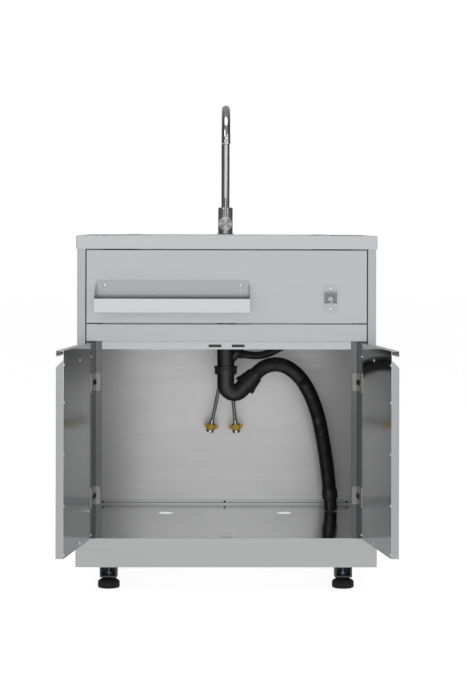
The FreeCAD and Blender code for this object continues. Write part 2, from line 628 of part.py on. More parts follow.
def drain_locknut():
    z = BOWL_Z - 3
    nut = pipe(57, DRAIN_R + RUN, (0, DRAIN_Y, z - 10), (0, DRAIN_Y, z))
    lugs = [box(-60, 60, DRAIN_Y - 5, DRAIN_Y + 5, z - 10, z - 1),
            box(-5, 5, DRAIN_Y - 60, DRAIN_Y + 60, z - 10, z - 1)]
    core = rod(DRAIN_R + RUN, (0, DRAIN_Y, z - 20), (0, DRAIN_Y, z + 5))
    return joined([nut] + lugs).cut(core)


def strainer_basket():
    z = BOWL_Z + SHEET
    cup = turned([(0, z - 25), (DRAIN_R - 6, z - 25), (DRAIN_R - 3, z - 2), (DRAIN_R - 3, z + 1),
                  (DRAIN_R - 4, z + 1), (DRAIN_R - 7.2, z - 24), (0, z - 24)], (0, DRAIN_Y))
    knob = turned([(0, z - 24), (3, z - 24), (3, z - 6), (8, z - 3), (8, z), (0, z + 2)],
                  (0, DRAIN_Y))
    holes = []
    for ring, count in ((14, 6), (25, 10)):
        for i in range(count):
            a = 2 * math.pi * i / count
            x, y = ring * math.cos(a), DRAIN_Y + ring * math.sin(a)
            holes.append(rod(2.6, (x, y, z - 30), (x, y, z - 20)))
    return joined([cup, knob]).cut(holes)


def tailpiece():
    """Straight drain pipe with a side branch for the overflow hose."""
    start, end = (0, DRAIN_Y, TAIL_END), (0, DRAIN_Y, TAIL_TOP)
    collar = rod(PIPE_R + 3, (0, DRAIN_Y, TAIL_TOP - 14), end)
    mouth = V(*OVERFLOW_ROUTE[0])
    knee = mouth - (V(*OVERFLOW_ROUTE[1]) - mouth).normalize() * 18
    foot = (0, DRAIN_Y, BRANCH_Z)
    branch = [rod(BRANCH_R, foot, knee), Part.makeSphere(BRANCH_R, knee),
              rod(BRANCH_R, knee, mouth)]
    bore = rod(PIPE_R - PIPE_WALL, (0, DRAIN_Y, TAIL_END - 1), (0, DRAIN_Y, TAIL_TOP + 1))
    socket = rod(PIPE_R + RUN, (0, DRAIN_Y, TAIL_TOP - 10), (0, DRAIN_Y, TAIL_TOP + 1))
    side_bore = rod(BRANCH_R - 5, foot, knee)
    side_end = rod(BRANCH_R - 5, knee, mouth)
    return joined([rod(PIPE_R, start, end), collar] + branch).cut(
        [bore, socket, side_bore, side_end])


def trap_axis(along, up=0.0):
    """A point in the trap's upright plane."""
    turn = math.radians(TRAP_TURN)
    return V(along * math.cos(turn), DRAIN_Y + along * math.sin(turn), TRAP_Z + up)


def trap_end(extra=0.0):
    """A point on the trap's outlet line, `extra` past the bend, and that line's direction."""
    s = math.sqrt(0.5)
    reach = TRAP_R * (1 + s)
    spot = trap_axis(reach + extra * s, (extra - TRAP_R) * s)
    return spot, trap_axis(1, 1) - trap_axis(0, 0)


def trap_bend():
    """Bend that turns from straight down to rising at 45 degrees."""
    s = math.sqrt(0.5)
    start, top = trap_axis(0), trap_axis(0, TAIL_END - TRAP_Z)
    bottom = trap_axis(TRAP_R, -TRAP_R)
    last, _ = trap_end()
    out, _ = trap_end(TRAP_STUB)
    path = Part.Wire([Part.LineSegment(top, start).toShape(),
                      Part.Arc(start, trap_axis(TRAP_R * (1 - s), -TRAP_R * s),
                               bottom).toShape(),
                      Part.Arc(bottom, trap_axis(TRAP_R * (1 + math.sin(math.pi / 8)),
                                                 -TRAP_R * math.cos(math.pi / 8)),
                               last).toShape(),
                      Part.LineSegment(last, out).toShape()])
    shells = [path.makePipeShell([Part.Wire(Part.makeCircle(r, top, UP))], True, False)
              for r in (PIPE_R, PIPE_R - PIPE_WALL)]
    return shells[0].cut(shells[1])


def slip_nut(radius, height, flange, ribs, bore=PIPE_R + RUN):
    """A plastic slip nut drawn upwards from the origin, flange at its top."""
    body = joined([rod(radius, (0, 0, 0), (0, 0, height)),
                   Part.makeCone(radius, flange, 3, V(0, 0, height - 6)),
                   rod(flange, (0, 0, height - 3), (0, 0, height))])
    lugs = []
    for i in range(ribs):
        rib = box(radius - 1, radius + 2.4, -2.4, 2.4, 1, height - 2)
        rib.rotate(V(0, 0, 0), UP, 360 / ribs * i)
        lugs.append(rib)
    return joined([body] + lugs).cut(rod(bore, (0, 0, -1), (0, 0, height + 1)))


def trap_inlet_nut():
    return aimed(slip_nut(NUT_R, 22, NUT_R + 4.5, 10), (0, DRAIN_Y, TAIL_END - 1), (0, 0, 1))


def trap_outlet_nut():
    """Wide nut at the trap's outlet, then the hose's ribbed cuff."""
    spot, way = trap_end(TRAP_STUB - NUT_GRIP)
    shape = [rod(32, (0, 0, 0), (0, 0, 8))]
    shape += [rod(28.6 - i * 1.6, (0, 0, 7 + i * 9), (0, 0, 16.5 + i * 9)) for i in range(4)]
    shape += [rod(29.8 - i * 1.6, (0, 0, 12 + i * 9), (0, 0, 15 + i * 9)) for i in range(4)]
    nut = joined(shape).cut([rod(PIPE_R + RUN, (0, 0, -1), (0, 0, NUT_GRIP + RUN)),
                             rod(HOSE_R - HOSE_WALL, (0, 0, NUT_GRIP), (0, 0, 60))])
    return aimed(nut, spot, way)


def drain_hose():
    return hose(DRAIN_ROUTE, HOSE_R, HOSE_R - HOSE_WALL, "drain_hose")


def overflow_hose():
    return hose(OVERFLOW_ROUTE, OVERFLOW_R, OVERFLOW_R - 1.5, "overflow_hose")


def overflow_elbow():
    """Elbow behind the bowl's overflow hole, its spigot pointing down."""
    x, y, z = OVERFLOW_ROUTE[-1]
    wall = BOWL_X
    plate_ = rod(18, (wall, y, OVERFLOW_Z), (wall + 5, y, OVERFLOW_Z))
    arm = rod(11, (wall, y, OVERFLOW_Z), (x, y, OVERFLOW_Z))
    knee = Part.makeSphere(11, V(x, y, OVERFLOW_Z))
    spigot = rod(11, (x, y, z), (x, y, OVERFLOW_Z))
    bore = [rod(8, (wall - 1, y, OVERFLOW_Z), (x, y, OVERFLOW_Z)),
            rod(8, (x, y, z - 1), (x, y, OVERFLOW_Z))]
    return joined([plate_, arm, knee, spigot]).cut(bore)


def overflow_plate():
    """Round cover over the overflow hole inside the bowl."""
    wall = BOWL_X - SHEET
    y = DRAIN_Y
    cover = rod(17, (wall - 2, y, OVERFLOW_Z), (wall, y, OVERFLOW_Z))
    slots = [box(wall - 5, wall + 5, y - 8, y + 8, OVERFLOW_Z + s - 1.5, OVERFLOW_Z + s + 1.5)
             for s in (-8, -2.7, 2.7, 8)]
    return cover.cut(slots)


# ---- tap ----------------------------------------------------------------------------
def faucet_base_ring():
    z = HEIGHT
    return turned([(SHANK_R + RUN, z), (TAP_R + 3, z), (TAP_R + 3, z + 2.5),
                   (TAP_R + 0.5, z + TAP_RING), (SHANK_R + RUN, z + TAP_RING)], (0, TAP_Y))


def faucet_body():
    """Upright body with a front boss for the lever and a threaded shank below."""
    z, top = HEIGHT + TAP_RING, HEIGHT + TAP_H
    body = rod(TAP_R, (0, TAP_Y, z), (0, TAP_Y, top))
    body = body.makeFillet(4, [e for e in body.Edges if e.BoundBox.ZMin > top - 0.01])
    boss = rod(HUB_R - 1.5, (0, HUB_Y + HUB_L + 0.8, HUB_C), (0, TAP_Y, HUB_C))
    shank = rod(SHANK_R, (0, TAP_Y, SHANK_END), (0, TAP_Y, z))
    socket = rod(SPOUT_R + RUN, (0, TAP_Y, top - SPOUT_SEAT), (0, TAP_Y, top + 1))
    seat = rod(CART_R, (0, HUB_Y + HUB_L, HUB_C), (0, TAP_Y + 12, HUB_C))
    waterways = [rod(5.0, (x, TAP_Y, SHANK_END - 1), (x, TAP_Y, HUB_C - CART_R + 2))
                 for x in (-7, 7)]
    riser = rod(6, (0, TAP_Y, HUB_C), (0, TAP_Y, top - SPOUT_SEAT + 1))
    return joined([body, boss, shank]).cut([socket, seat, riser] + waterways)


def faucet_cartridge():
    """Ceramic cartridge in the boss; the hub's stem turns in it."""
    core = rod(CART_R, (0, HUB_Y + HUB_L + 2, HUB_C), (0, TAP_Y + 12, HUB_C))
    return core.cut(rod(5 + RUN, (0, HUB_Y, HUB_C), (0, HUB_Y + HUB_L + 16, HUB_C)))


def lever_hub():
    """Round hub that turns on the boss, slotted for the pin lever."""
    y0, y1 = HUB_Y, HUB_Y + HUB_L
    hub = rod(HUB_R, (0, y0, HUB_C), (0, y1, HUB_C))
    hub = hub.makeFillet(1.2, [e for e in hub.Edges if e.BoundBox.YMax < y0 + 0.01])
    stem = rod(5, (0, y1 - 1, HUB_C), (0, y1 + 15.5, HUB_C))
    slot = box(-LEVER_R - 0.3, LEVER_R + 0.3, PIVOT_Y - 12.2, PIVOT_Y + 4.2,
               HUB_C - 5, HUB_C + HUB_R + 1)
    across = rod(TRUNNION_R + RUN, (-8, PIVOT_Y, HUB_C), (8, PIVOT_Y, HUB_C))
    return joined([hub, stem]).cut([slot, across])


def lever_pin():
    """Thin pin lever with a small cross trunnion at its foot."""
    pin = rod(LEVER_R, (0, PIVOT_Y, HUB_C - 3), (0, PIVOT_Y, HUB_C + LEVER_LEN))
    pin = pin.makeFillet(1.5, [e for e in pin.Edges if e.BoundBox.ZMin > HUB_C + LEVER_LEN - 0.01])
    return joined([pin, rod(TRUNNION_R, (-7.5, PIVOT_Y, HUB_C), (7.5, PIVOT_Y, HUB_C))])


def spout():
    """Gooseneck tube that swivels in the body."""
    top = HEIGHT + TAP_H
    arch = SPOUT_REACH / 2
    spring = HEIGHT + SPOUT_TOP - SPOUT_R - arch
    start = V(0, TAP_Y, top - SPOUT_SEAT + 1)
    path = Part.Wire([Part.LineSegment(start, V(0, TAP_Y, spring)).toShape(),
                      Part.Arc(V(0, TAP_Y, spring), V(0, TAP_Y - arch, spring + arch),
                               V(0, TAP_Y - SPOUT_REACH, spring)).toShape(),
                      Part.LineSegment(V(0, TAP_Y - SPOUT_REACH, spring),
                                       V(0, TAP_Y - SPOUT_REACH, SPOUT_END)).toShape()])
    shells = [path.makePipeShell([Part.Wire(Part.makeCircle(r, start, UP))], True, False)
              for r in (SPOUT_R, SPOUT_R - 1.5)]
    return shells[0].cut(shells[1])


def aerator():
    y = TAP_Y - SPOUT_REACH
    ring = pipe(SPOUT_R - 0.8, 8, (0, y, SPOUT_END - 6), (0, y, SPOUT_END))
    neck = pipe(SPOUT_R - 1.5, 8, (0, y, SPOUT_END), (0, y, SPOUT_END + 8))
    mesh = rod(8.5, (0, y, SPOUT_END - 2), (0, y, SPOUT_END - 1))
    return joined([ring, neck, mesh])


def faucet_gasket():
    z = HEIGHT - SHEET
    return pipe(25, SHANK_R + RUN, (0, TAP_Y, z - 4), (0, TAP_Y, z))


def faucet_nut():
    z = HEIGHT - SHEET - 4
    washer = rod(24, (0, TAP_Y, z - 2), (0, TAP_Y, z))
    nut = joined([hexagon(40, (0, TAP_Y, z - 14), (0, TAP_Y, z - 2)), washer])
    return nut.cut(rod(SHANK_R + RUN, (0, TAP_Y, z - 20), (0, TAP_Y, z + 5)))


def supply_way(route):
    return (V(*route[-1]) - V(*route[-2])).normalize()


def supply_tails():
    """Crimped ferrules and collared tails at both hose ends."""
    parts = []
    for route in (SUPPLY_LEFT, SUPPLY_RIGHT):
        tail = joined([rod(6.3, (0, 0, 0), (0, 0, 16)), rod(TAIL_R, (0, 0, 15), (0, 0, 24)),
                       rod(7.6, (0, 0, 23.5), (0, 0, 26.5))])
        parts.append(aimed(tail.cut(rod(3, (0, 0, -1), (0, 0, 30))), route[-1],
                           supply_way(route)))
    return group(parts)


def wing_nut(route):
    """Winged union nut, free to turn on the tail, open below for a half-inch thread."""
    hole = TAIL_R + RUN
    nut = turned([(6.6, 11), (11.5, 11), (13.8, 14), (13.8, 27), (11, 30), (11, 36),
                  (NUT_BORE, 36), (NUT_BORE, 27), (8.2, 27), (8.2, 23), (hole, 23),
                  (hole, 17), (6.6, 17)])
    wings = [plate([(side * 12, -2, 13), (side * 21, -2, 12), (side * 21, -2, 22),
                    (side * 12, -2, 25)], V(0, 1, 0), 4) for side in (-1, 1)]
    core = rod(12.2, (0, 0, 10), (0, 0, 30))
    nut = joined([nut] + [w.cut(core) for w in wings])
    return aimed(nut, route[-1], supply_way(route))


# ---- feet ---------------------------------------------------------------------------
def foot_plates():
    z = FOOT_HEIGHT + SHEET
    plates = []
    for x, y in FOOT_SPOTS:
        out = 1 if x > 0 else -1
        far = out * (WIDTH / 2 - SHEET - 0.5)
        back = SHEET + 0.5 if y < DEPTH / 2 else DEPTH - SHEET - 0.5
        inner = y + 32 if y < DEPTH / 2 else y - 32
        block = box(min(x - out * 32, far), max(x - out * 32, far), min(back, inner),
                    max(back, inner), z, z + 2.5)
        plates.append(block.cut(rod(STUD_R + FIT, (x, y, z - 1), (x, y, z + 5))))
    return group(plates)


def foot_housings():
    """Square sockets under the base, open to the front, that carry the feet's nuts."""
    parts = []
    for x, y in FOOT_SPOTS:
        top = FOOT_HEIGHT + SHEET
        shell = box(x - HOUSE, x + HOUSE, y - HOUSE, y + HOUSE, HOUSE_Z, FOOT_HEIGHT)
        shell = shell.makeFillet(4, edges_along(shell, UP))
        neck = rod(12, (x, y, FOOT_HEIGHT), (x, y, top))
        room = box(x - HOUSE + 5, x + HOUSE - 5, y - HOUSE - 1, y + HOUSE - 4,
                   HOUSE_Z + 4, FOOT_HEIGHT - 5)
        bore = rod(STUD_R + FIT, (x, y, HOUSE_Z - 1), (x, y, top + 1))
        parts.append(joined([shell, neck]).cut([room, bore]))
    return group(parts)


def foot_nuts():
    """A carrying nut and a lock nut in each housing."""
    nuts = []
    for x, y in FOOT_SPOTS:
        for z in (HOUSE_Z + 4, FOOT_HEIGHT - 5 - 8):
            bore = rod(STUD_R + RUN, (x, y, z - 1), (x, y, z + 10))
            nuts.append(hexagon(17, (x, y, z), (x, y, z + 8)).cut(bore))
    return group(nuts)


def level_foot(x, y):
    """Threaded stud standing in a flared pad."""
    seat = PAD_H - 9
    stud = rod(STUD_R, (x, y, seat), (x, y, STUD_TOP))
    pad = turned([(0, 0), (PAD_R - 3, 0), (PAD_R, 3), (PAD_R, PAD_H / 2), (PAD_R - 2, PAD_H / 2 + 4),
                  (15, PAD_H - 1.5), (12, PAD_H), (STUD_R, PAD_H), (STUD_R, seat), (0, seat)],
                 (x, y))
    return group([stud, pad])


def build():
    """Every node of the sink, in the cabinet's own coordinates."""
    nodes = {
        "countertop": countertop(), "sink_bowl": sink_bowl(), "sink_clips": sink_clips(),
        "side_panel_left": side_panel(), "side_panel_right": mirrored(side_panel()),
        "back_panel": back_panel(), "base_pan": base_pan(), "fascia_panel": fascia_panel(),
        "lower_rail": front_panel(RAIL_Z, RAIL_TOP), "header_rail": header_rail(),
        "door_magnets": door_magnets(), "door_bumper": door_bumper(),
        "panel_screws": panel_screws(), "condiment_tray": condiment_tray(),
        "bottle_opener": bottle_opener(), "strainer_body": strainer_body(),
        "drain_gasket": drain_gasket(), "drain_locknut": drain_locknut(),
        "strainer_basket": strainer_basket(), "tailpiece": tailpiece(),
        "trap_inlet_nut": trap_inlet_nut(), "trap_bend": trap_bend(),
        "trap_outlet_nut": trap_outlet_nut(), "drain_hose": drain_hose(),
        "overflow_hose": overflow_hose(), "overflow_elbow": overflow_elbow(),
        "overflow_plate": overflow_plate(), "faucet_base_ring": faucet_base_ring(),
        "faucet_body": faucet_body(), "faucet_cartridge": faucet_cartridge(),
        "faucet_gasket": faucet_gasket(), "faucet_nut": faucet_nut(),
        "lever_hub": lever_hub(), "lever_pin": lever_pin(), "spout": spout(),
        "aerator": aerator(), "supply_tails": supply_tails(),
        "supply_hose_left": hose(SUPPLY_LEFT, SUPPLY_R, 0, "supply_hose_left"),
        "supply_hose_right": hose(SUPPLY_RIGHT, SUPPLY_R, 0, "supply_hose_right"),
        "wing_nut_left": wing_nut(SUPPLY_LEFT), "wing_nut_right": wing_nut(SUPPLY_RIGHT),
        "foot_plates": foot_plates(), "foot_housings": foot_housings(),
        "foot_nuts": foot_nuts(),
    }
    arms = [hinge_arm(z) for z in HINGE_ZS]
    nodes["hinge_arms"] = group(arms + [mirrored(a) for a in arms])
    left = {"door_skin": door_skin(), "door_liner": door_liner(),
            "liner_screws": liner_screws(),
            "hinge_cups": group([hinge_cup(z) for z in HINGE_ZS]),
            "hinge_pins": group([hinge_pin(z) for z in HINGE_ZS])}
    for name, shape in left.items():
        nodes[name + "_left"] = opened(shape)
        nodes[name + "_right"] = mirrored(opened(shape))
    for name, (x, y) in zip(("front_left", "front_right", "rear_left", "rear_right"),
                            FOOT_SPOTS):
        nodes["foot_" + name] = level_foot(x, y)
    return nodes


CORDS = ("drain_hose", "overflow_hose", "supply_hose_left", "supply_hose_right",
         "supply_tails", "wing_nut_left", "wing_nut_right")
NODES = build()
solid_boxes = [s.BoundBox for n, s in NODES.items() if n not in CORDS]
MIDDLE_Y = (min(b.YMin for b in solid_boxes) + max(b.YMax for b in solid_boxes)) / 2
os.makedirs("parts", exist_ok=True)
for name, shape in NODES.items():
    shape.translate(V(0, -MIDDLE_Y, 0))
    assert shape.isValid(), name
    shape.exportStep("parts/" + name + ".step")
print("nodes", len(NODES), "solids", sum(len(s.Solids) for s in NODES.values()))
print("front plane at y", round(-MIDDLE_Y, 3))
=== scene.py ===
import math
import bmesh
import bpy
from mathutils import Matrix, Vector


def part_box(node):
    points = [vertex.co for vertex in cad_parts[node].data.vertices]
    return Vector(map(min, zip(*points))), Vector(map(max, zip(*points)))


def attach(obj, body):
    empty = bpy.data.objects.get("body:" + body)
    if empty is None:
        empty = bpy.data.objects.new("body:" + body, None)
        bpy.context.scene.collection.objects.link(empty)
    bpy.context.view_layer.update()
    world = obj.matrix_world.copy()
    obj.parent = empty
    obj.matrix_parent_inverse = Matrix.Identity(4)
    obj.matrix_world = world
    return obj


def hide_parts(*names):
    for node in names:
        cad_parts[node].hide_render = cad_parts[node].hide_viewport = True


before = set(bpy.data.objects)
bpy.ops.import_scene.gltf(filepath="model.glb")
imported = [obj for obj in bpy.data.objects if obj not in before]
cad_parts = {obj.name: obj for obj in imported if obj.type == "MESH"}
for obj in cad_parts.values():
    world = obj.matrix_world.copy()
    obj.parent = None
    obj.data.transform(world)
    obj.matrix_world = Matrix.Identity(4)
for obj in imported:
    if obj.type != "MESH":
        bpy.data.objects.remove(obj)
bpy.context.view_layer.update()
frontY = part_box("countertop")[0].y  # the cabinet's front plane
print("frame loaded")


def at(x, y, z):  # cabinet millimetres to metres in the frame
    return Vector((x / 1000, frontY + y / 1000, z / 1000))


def aim(spot, way):  # own Z along the way, own X as near the frame's X as it can be
    z = Vector(way).normalized()
    x = (Vector((1, 0, 0)) - z * z.x).normalized()
    return Matrix.Translation(spot) @ Matrix((x, z.cross(x), z)).transposed().to_4x4()


# camera
view = {"x": -43, "back": 5200, "height": 976.7, "yaw": 0.0116, "roll": 0.0024,
        "lens": 100.75, "drop": 0.1796}

lensData = bpy.data.cameras.new("camera")
lensData.lens = view["lens"]
lensData.sensor_width = 36
lensData.shift_y = -view["drop"]
lensData.clip_end = 60
camera = bpy.data.objects.new("camera", lensData)
bpy.context.scene.collection.objects.link(camera)
camera.matrix_world = (Matrix.Translation(at(view["x"], -view["back"], view["height"]))
                       @ Matrix.Rotation(-view["yaw"], 4, "Z")
                       @ Matrix.Rotation(math.pi / 2, 4, "X")
                       @ Matrix.Rotation(view["roll"], 4, "Z"))
bpy.context.scene.camera = camera
bpy.context.scene.view_settings.view_transform = "Standard"


# shapes: every helper gives a mesh in its final place
def kept(bm, place=None):
    bmesh.ops.remove_doubles(bm, verts=bm.verts, dist=1e-6)
    bmesh.ops.recalc_face_normals(bm, faces=bm.faces)
    if place is not None:
        bm.transform(place)
    mesh = bpy.data.meshes.new("shape")
    bm.to_mesh(mesh)
    bm.free()
    return mesh


def turned(profile, place, steps=48, flats=0.0):  # (radius, height) in mm, spun about its own Z
    bm = bmesh.new()
    dots = [bm.verts.new((r / 1000, 0, z / 1000)) for r, z in profile]
    runs = [bm.edges.new(pair) for pair in zip(dots, dots[1:])]
    bmesh.ops.spin(bm, geom=dots + runs, cent=(0, 0, 0), axis=(0, 0, 1), angle=math.tau,
                   steps=steps, use_merge=True)
    for v in bm.verts if flats else ():  # hexagon: pull in what stands past the flats
        corner = (math.atan2(v.co.y, v.co.x) + math.pi / 6) % (math.pi / 3) - math.pi / 6
        reach = flats / 2000 / math.cos(corner)
        if v.co.xy.length > reach:
            v.co.xy = v.co.xy * (reach / v.co.xy.length)
    return kept(bm, place)


def block(size, place, bevel=0.5, segments=2):  # size in mm, centred on its own origin
    bm = bmesh.new()
    bmesh.ops.create_cube(bm, size=1)
    bmesh.ops.scale(bm, vec=Vector(size) / 1000, verts=bm.verts)
    bmesh.ops.bevel(bm, geom=bm.edges, offset=bevel / 1000, segments=segments, profile=0.5,
                    affect="EDGES", material=-1)
    return kept(bm, place)


def slab(outline, depth, place, bevel=0.4):  # flat outline in mm, pushed along its own Z
    bm = bmesh.new()
    face = bm.faces.new([bm.verts.new((x / 1000, y / 1000, 0)) for x, y in outline])
    top = bmesh.ops.extrude_face_region(bm, geom=[face])["geom"]
    bmesh.ops.translate(bm, vec=(0, 0, depth / 1000),
                        verts=[v for v in top if isinstance(v, bmesh.types.BMVert)])
    bmesh.ops.bevel(bm, geom=bm.edges, offset=bevel / 1000, segments=2, profile=0.5,
                    affect="EDGES", material=-1)
    return kept(bm, place)


def smoothLine(route):  # points along a smooth curve through a hose's route
    curve = bpy.data.curves.new("line", "CURVE")
    curve.dimensions = "3D"
    curve.resolution_u = 40
    spline = curve.splines.new("NURBS")
    spline.points.add(len(route) - 1)
    for point, spot in zip(spline.points, route):
        point.co = (*at(*spot), 1)
    spline.order_u = 3
    spline.use_endpoint_u = True
    guide = bpy.data.objects.new("line", curve)
    bpy.context.scene.collection.objects.link(guide)
    mesh = bpy.data.meshes.new_from_object(guide)
    line = [v.co.copy() for v in mesh.vertices]
    bpy.data.objects.remove(guide)
    return line


def tube(line, radiusAt, sides=32, step=1.0):  # radiusAt gives mm for metres along the line
    reach = [0.0]
    for a, b in zip(line, line[1:]):
        reach.append(reach[-1] + (b - a).length)
    rings = max(2, round(reach[-1] * 1000 / step))
    side = (line[1] - line[0]).orthogonal().normalized()
    frames, k = [], 0
    for i in range(rings + 1):
        s = reach[-1] * i / rings
        while k < len(line) - 2 and reach[k + 1] < s:
            k += 1
        way = (line[k + 1] - line[k]).normalized()
        spot = line[k].lerp(line[k + 1], (s - reach[k]) / (reach[k + 1] - reach[k]))
        side = (side - way * side.dot(way)).normalized()
        frames.append((spot, side, way.cross(side), radiusAt(s) / 1000))
    bm = bmesh.new()
    bmesh.ops.create_grid(bm, x_segments=sides, y_segments=rings, size=0.5)
    uv = bm.loops.layers.uv.new("UVMap")
    for face in bm.faces:
        for loop in face.loops:
            loop[uv].uv = (loop.vert.co.x + 0.5, (loop.vert.co.y + 0.5) * reach[-1])
    for v in bm.verts:
        spot, right, up, r = frames[round((v.co.y + 0.5) * rings)]
        turn = (v.co.x + 0.5) * math.tau
        v.co = spot + (right * math.cos(turn) + up * math.sin(turn)) * r
    bmesh.ops.remove_doubles(bm, verts=bm.verts, dist=1e-6)
    bmesh.ops.holes_fill(bm, edges=[e for e in bm.edges if e.is_boundary], sides=0)
    return kept(bm)


def piece(name, shapes, finish, body="root", stands=(), sharp=35):
    bm = bmesh.new()
    for shape in shapes:
        bm.from_mesh(shape)
        bpy.data.meshes.remove(shape)
    mesh = bpy.data.meshes.new(name)
    bm.to_mesh(mesh)
    bm.free()
    mesh.shade_smooth()
    mesh.set_sharp_from_angle(angle=math.radians(sharp))
    mesh.materials.append(finish)
    made = bpy.data.objects.new(name, mesh)
    bpy.context.scene.collection.objects.link(made)
    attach(made, body)
    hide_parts(*stands)
    return made


# finishes
class Wire:
    def __init__(self, tree, socket):
        self.tree, self.socket = tree, socket

    def sum(self, operation, *others):
        node = self.tree.nodes.new("ShaderNodeMath")
        node.operation = operation
        for socket, value in zip(node.inputs, others):
            join(self.tree, socket, value)
        return Wire(self.tree, node.outputs[0])

    def __add__(self, other): return self.sum("ADD", self, other)
    def __radd__(self, other): return self.sum("ADD", other, self)
    def __sub__(self, other): return self.sum("SUBTRACT", self, other)
    def __rsub__(self, other): return self.sum("SUBTRACT", other, self)
    def __mul__(self, other): return self.sum("MULTIPLY", self, other)
    def __rmul__(self, other): return self.sum("MULTIPLY", other, self)
    def __pow__(self, other): return self.sum("POWER", self, other)


def join(tree, socket, value):
    if isinstance(value, Wire):
        tree.links.new(value.socket, socket)
    else:
        socket.default_value = value


class Finish:
    def __init__(self, name, **fixed):
        self.material = bpy.data.materials.new(name)
        self.material.use_nodes = True
        self.tree = self.material.node_tree
        self.shader = self.tree.nodes["Principled BSDF"]
        for socket, value in fixed.items():
            self.set(socket, value)
        self.place = self.add("TexCoord", output="Object")

    def set(self, socket, value):
        join(self.tree, self.shader.inputs[socket.replace("_", " ")], value)

    def add(self, kind, settings=None, inputs=None, output=0):
        node = self.tree.nodes.new("ShaderNode" + kind)
        for key, value in (settings or {}).items():
            setattr(node, key, value)
        for key, value in (inputs or {}).items():
            join(self.tree, node.inputs[key], value)
        return Wire(self.tree, node.outputs[output])

    def noise(self, scale, detail=3.0, centre=(0, 0, 0)):
        where = self.add("Mapping", None, {"Vector": self.place, "Location": centre,
                                           "Scale": scale})
        return self.add("TexNoise", None, {"Vector": where, "Scale": 1.0, "Detail": detail})

    def blend(self, factor, first, second):
        return self.add("Mix", {"data_type": "RGBA"},
                        {0: factor, 6: (*first, 1), 7: (*second, 1)}, output=2)

    def relief(self, height, depth, strength=1.0):
        self.set("Normal", self.add("Bump", None, {"Height": height, "Distance": depth,
                                                   "Strength": strength}))


def brushedSteel(name, fine, broad, dark, light, rough, spread=0.10, paintedShades=()):
    steel = Finish(name, Metallic=1.0)
    grain = steel.noise(fine, 4)
    streak = steel.noise(broad, 2)
    smudge = steel.noise((5, 5, 5), 3)
    tone = steel.blend(grain * 0.45 + streak * 0.40 + smudge * 0.30 - 0.075, dark, light)
    gloss = (streak - 0.5) * spread + (smudge - 0.5) * spread + rough
    for turn in paintedShades:  # painted shade: the sheet's colour is darkened, and its roughness changed, over a short way past some place
        shadeShare = 1.0
        for axis, start, end in turn["past"]:
            place = steel.add("SeparateXYZ", None, {0: steel.place}, output=axis)
            shadeShare = shadeShare * steel.add("MapRange", None, {0: place, 1: start, 2: end})
        tone = steel.add("VectorMath", {"operation": "SCALE"},
                         {0: tone, "Scale": 1 - shadeShare * (1 - turn["shade"])})
        gloss = gloss + shadeShare * turn["rough"]
    steel.set("Base_Color", tone)
    steel.set("Roughness", gloss)
    steel.relief(grain * 0.7 + streak * 0.3, 0.00012, 0.35)
    return steel.material


alongX, alongY, alongZ = (7, 700, 900), (700, 7, 900), (700, 900, 7)
broadX, broadY, broadZ = (1.5, 60, 170), (60, 1.5, 170), (90, 170, 1.5)
frontSteel = brushedSteel("frontSteel", alongX, broadX, (0.325, 0.33, 0.335),
                          (0.40, 0.405, 0.41), 0.32)
topSteel = brushedSteel("topSteel", alongX, broadX, (0.34, 0.345, 0.35), (0.42, 0.425, 0.43), 0.30)
paintedShadeOnBase = {  # painted shade: where the base's steel is painted darker, and made rougher, than its bright top
    "front skirt": [(1, frontY + 0.0022, frontY + 0.0010)],
    "upstand": [(1, frontY + 0.6275, frontY + 0.6290), (2, 0.1420, 0.1432)],
    "rear skirt": [(1, frontY + 0.6341, frontY + 0.6348)],
    "left skirt": [(0, -0.3990, -0.3998)],
    "right skirt": [(0, 0.3990, 0.3998)]}
shelfSteel = brushedSteel("shelfSteel", alongX, broadX, (0.60, 0.605, 0.61),
                          (0.74, 0.745, 0.75), 0.12, 0.04,
                          [{"past": past, "shade": 0.54, "rough": 0.20}
                           for past in paintedShadeOnBase.values()])
# painted shade: the tray is painted darker from its front lip back towards the fascia
traySteel = brushedSteel("traySteel", alongX, broadX, (0.36, 0.365, 0.37), (0.46, 0.465, 0.47),
                         0.24, 0.08, [{"past": [(1, frontY - 0.080, frontY - 0.004)],
                                       "shade": 0.64, "rough": -0.04}])
# painted shade: the side walls' inner faces are painted much darker, and made glossier, from a
# little way behind the front
wallSteel = [brushedSteel("wallSteel" + side, alongZ, broadZ, (0.26, 0.265, 0.27),
                          (0.37, 0.375, 0.38), 0.28, 0.10,
                          [{"past": [(1, frontY + 0.008, frontY + 0.022), inward],
                            "shade": 0.28, "rough": -0.12}])
             for side, inward in (("Left", (0, -0.3965, -0.3955)),
                                  ("Right", (0, 0.3965, 0.3955)))]
sideSteel = brushedSteel("sideSteel", alongY, broadY, (0.32, 0.325, 0.33), (0.40, 0.405, 0.41),
                         0.32)
innerSteel = brushedSteel("innerSteel", alongX, (1.5, 60, 120), (0.40, 0.40, 0.40),
                          (0.47, 0.47, 0.47), 0.34)
linerSteel = brushedSteel("linerSteel", (900, 900, 10), (140, 140, 2), (0.34, 0.345, 0.35),
                          (0.48, 0.485, 0.49), 0.10, 0.05)
bowlSteel = brushedSteel("bowlSteel", (10, 500, 500), (3, 60, 60), (0.45, 0.46, 0.47),
                         (0.66, 0.67, 0.68), 0.28)
tapSteel = brushedSteel("tapSteel", (900, 900, 9), (170, 170, 3), (0.30, 0.30, 0.30),
                        (0.56, 0.56, 0.55), 0.15, 0.06)
# painted shade: the opener hood's front is painted darker than its back plate
plateSteel = brushedSteel("plateSteel", (300, 300, 300), (60, 60, 60), (0.25, 0.255, 0.26),
                          (0.34, 0.345, 0.35), 0.22, 0.08,
                          [{"past": [(1, frontY - 0.004, frontY - 0.010)],
                            "shade": 0.66, "rough": -0.04}])


